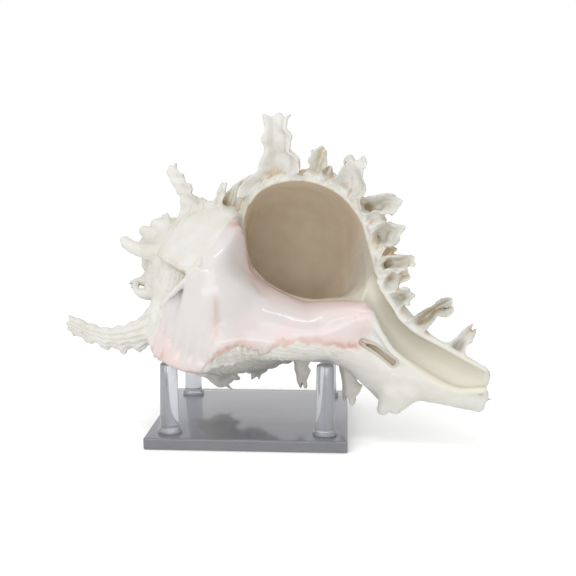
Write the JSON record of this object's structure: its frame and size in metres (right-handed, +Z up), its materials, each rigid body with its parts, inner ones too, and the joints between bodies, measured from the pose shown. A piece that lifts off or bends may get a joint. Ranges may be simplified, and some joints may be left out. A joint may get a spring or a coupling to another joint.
{
  "type": "murex sea shell",
  "caption": "Spiny murex shell with open fronds, a round aperture and a channelled canal, resting on a clear acrylic stand with round pegs.",
  "frame": {"origin": "middle of the base plate's underside", "axes": "+Z up, -Y the side that shows the shell's opening, +X towards the end of the canal"},
  "size_m": [0.1832, 0.0859, 0.1393],
  "materials": {
    "shell": "chalky off-white shell with a polished pink and white callus",
    "clear_acrylic": "clear polished acrylic"
  },
  "bodies": {
    "root": {"murex_shell": "shell", "stand_base": "clear_acrylic", "stand_peg_front_left": "clear_acrylic", "stand_peg_front_right": "clear_acrylic", "stand_peg_back_left": "clear_acrylic", "stand_peg_back_right": "clear_acrylic"}
  },
  "joints": []
}
